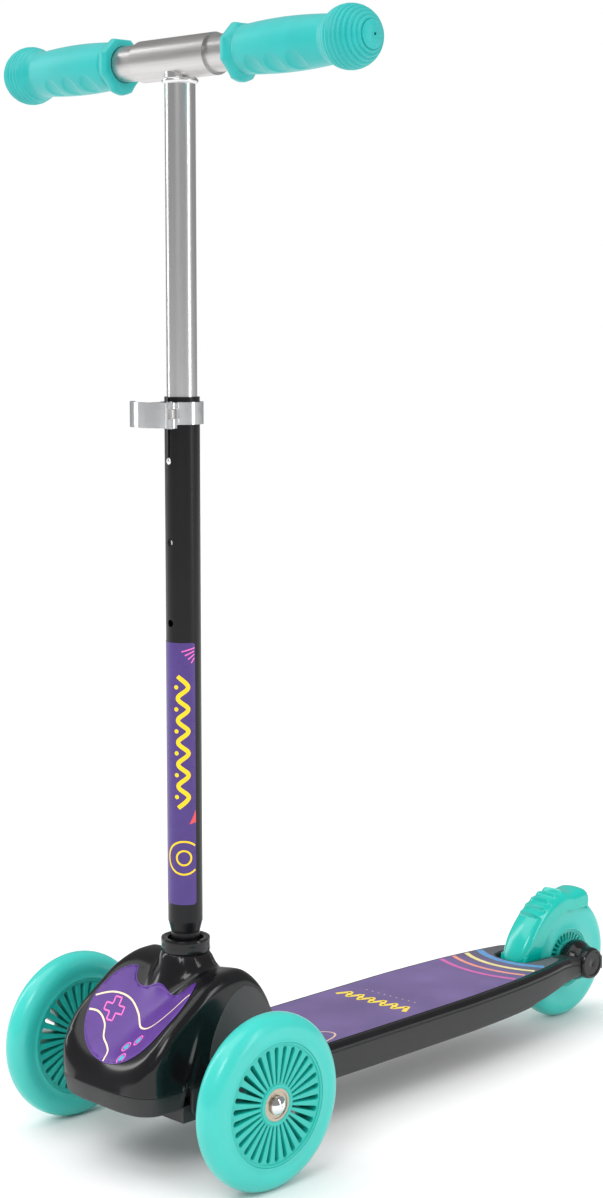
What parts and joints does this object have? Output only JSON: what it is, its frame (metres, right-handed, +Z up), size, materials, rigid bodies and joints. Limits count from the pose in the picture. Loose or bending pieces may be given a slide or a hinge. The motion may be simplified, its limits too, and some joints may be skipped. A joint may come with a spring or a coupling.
{
  "type": "kick scooter",
  "caption": "Child's three-wheeled lean-to-steer kick scooter with a low deck, height-adjustable tee handlebar, quick-release clamp and rear fender brake.",
  "frame": {"origin": "centre of the footprint box on the floor", "axes": "+X to the rider's left-right axis, nearer side positive; +Y from the nose to the rear wheel; +Z up"},
  "size_m": [0.3558, 0.546, 0.7655],
  "materials": {
    "gloss_black": "glossy",
    "matt_black": "matte, fine texture",
    "grip_teal": "soft satin",
    "tyre_teal": "satin polyurethane",
    "core_teal": "satin",
    "brake_teal": "glossy",
    "film_purple": "printed film",
    "deck_print": "printed grip film",
    "tube_black": "satin powder coat",
    "bare_steel": "satin brushed",
    "bright_alloy": "polished",
    "zinc_steel": "zinc plated",
    "chrome": "polished",
    "base_nylon": "moulded, matte"
  },
  "bodies": {
    "chassis": {"deck_body": "matt_black", "deck_film": "deck_print", "steering_base": "base_nylon", "lower_shell": "matt_black", "upper_shell": "gloss_black", "front_film": "film_purple", "socket_collar": "gloss_black", "shell_screws": "zinc_steel", "deck_screws": "zinc_steel", "kingpins": "zinc_steel", "kingpin_nuts": "zinc_steel", "steering_tube": "tube_black", "tube_film": "film_purple", "stem_bolt": "zinc_steel", "clamp_collar": "bright_alloy", "clamp_bolt": "zinc_steel", "clamp_nut": "zinc_steel", "lever_pin": "chrome", "centring_spring_left": "zinc_steel", "centring_spring_right": "zinc_steel", "rear_axle": "zinc_steel", "rear_axle_nut": "zinc_steel", "axle_cap_left": "gloss_black", "axle_cap_right": "gloss_black", "brake_pin": "zinc_steel", "brake_spring": "zinc_steel", "rear_spacer": "zinc_steel"},
    "clamp_lever": {"clamp_lever": "bright_alloy"},
    "handlebar": {"upper_tube": "bare_steel", "tee_sleeve": "bare_steel", "weld_bead": "bare_steel", "cross_bar": "bare_steel", "grip_left": "grip_teal", "grip_right": "grip_teal", "button_spring": "zinc_steel"},
    "snap_button": {"snap_button": "chrome"},
    "knuckle_left": {"knuckle_left": "base_nylon", "tie_pin_left": "zinc_steel", "axle_bolt_left": "chrome", "front_spacer_left": "zinc_steel"},
    "knuckle_right": {"knuckle_right": "base_nylon", "tie_pin_right": "zinc_steel", "axle_bolt_right": "chrome", "front_spacer_right": "zinc_steel"},
    "tie_rod": {"tie_rod": "base_nylon"},
    "front_wheel_left": {"front_tyre_left": "tyre_teal", "front_core_left": "core_teal", "front_bearings_left": "zinc_steel"},
    "front_wheel_right": {"front_tyre_right": "tyre_teal", "front_core_right": "core_teal", "front_bearings_right": "zinc_steel"},
    "rear_wheel": {"rear_tyre": "tyre_teal", "rear_core": "core_teal", "rear_bearings": "zinc_steel"},
    "brake": {"brake_fender": "brake_teal", "brake_pad": "zinc_steel"}
  },
  "joints": [
    {"name": "steer_left", "type": "hinge", "parent": "chassis", "child": "knuckle_left", "pos_m": [-0.034, -0.209, 0.06], "axis": [0, 0.5, 0.866], "range_deg": [-10, 10], "stiffness_Nm_per_rad": 14, "deforming": ["centring_spring_left", "centring_spring_right"]},
    {"name": "steer_right", "type": "hinge", "parent": "chassis", "child": "knuckle_right", "pos_m": [0.034, -0.209, 0.06], "axis": [0, 0.5, 0.866], "range_deg": [-10, 10], "stiffness_Nm_per_rad": 14, "deforming": ["centring_spring_left", "centring_spring_right"]},
    {"name": "tie_rod_swing", "type": "hinge", "parent": "knuckle_left", "child": "tie_rod", "pos_m": [-0.034, -0.23758, 0.0705], "axis": [0, 0.5, 0.866], "range_deg": [-10, 10]},
    {"name": "front_left_spin", "type": "hinge", "parent": "knuckle_left", "child": "front_wheel_left", "pos_m": [-0.1005, -0.209, 0.06], "axis": [1, 0, 0], "continuous": true},
    {"name": "front_right_spin", "type": "hinge", "parent": "knuckle_right", "child": "front_wheel_right", "pos_m": [0.1005, -0.209, 0.06], "axis": [1, 0, 0], "continuous": true},
    {"name": "rear_spin", "type": "hinge", "parent": "chassis", "child": "rear_wheel", "pos_m": [0, 0.223, 0.05], "axis": [1, 0, 0], "continuous": true},
    {"name": "brake_press", "type": "hinge", "parent": "chassis", "child": "brake", "pos_m": [0, 0.1648, 0.048], "axis": [1, 0, 0], "range_deg": [-2.2, 0], "stiffness_Nm_per_rad": 8, "springref_deg": 1.15, "deforming": ["brake_spring"]},
    {"name": "bar_height", "type": "slide", "parent": "chassis", "child": "handlebar", "axis": [0, 0, 1], "range_m": [-0.11, 0], "deforming": ["snap_button"]},
    {"name": "button_press", "type": "slide", "parent": "handlebar", "child": "snap_button", "axis": [0, 1, 0], "range_m": [0, 0.0032], "stiffness_N_per_m": 1500, "deforming": ["button_spring"]},
    {"name": "lever_open", "type": "hinge", "parent": "chassis", "child": "clamp_lever", "pos_m": [0.0095, -0.2105, 0.5112], "axis": [0, 0, 1], "range_deg": [0, 140]}
  ],
  "couplings": [
    {"joint": "steer_right", "follows": "steer_left", "ratio": 1},
    {"joint": "tie_rod_swing", "follows": "steer_left", "ratio": -1}
  ]
}
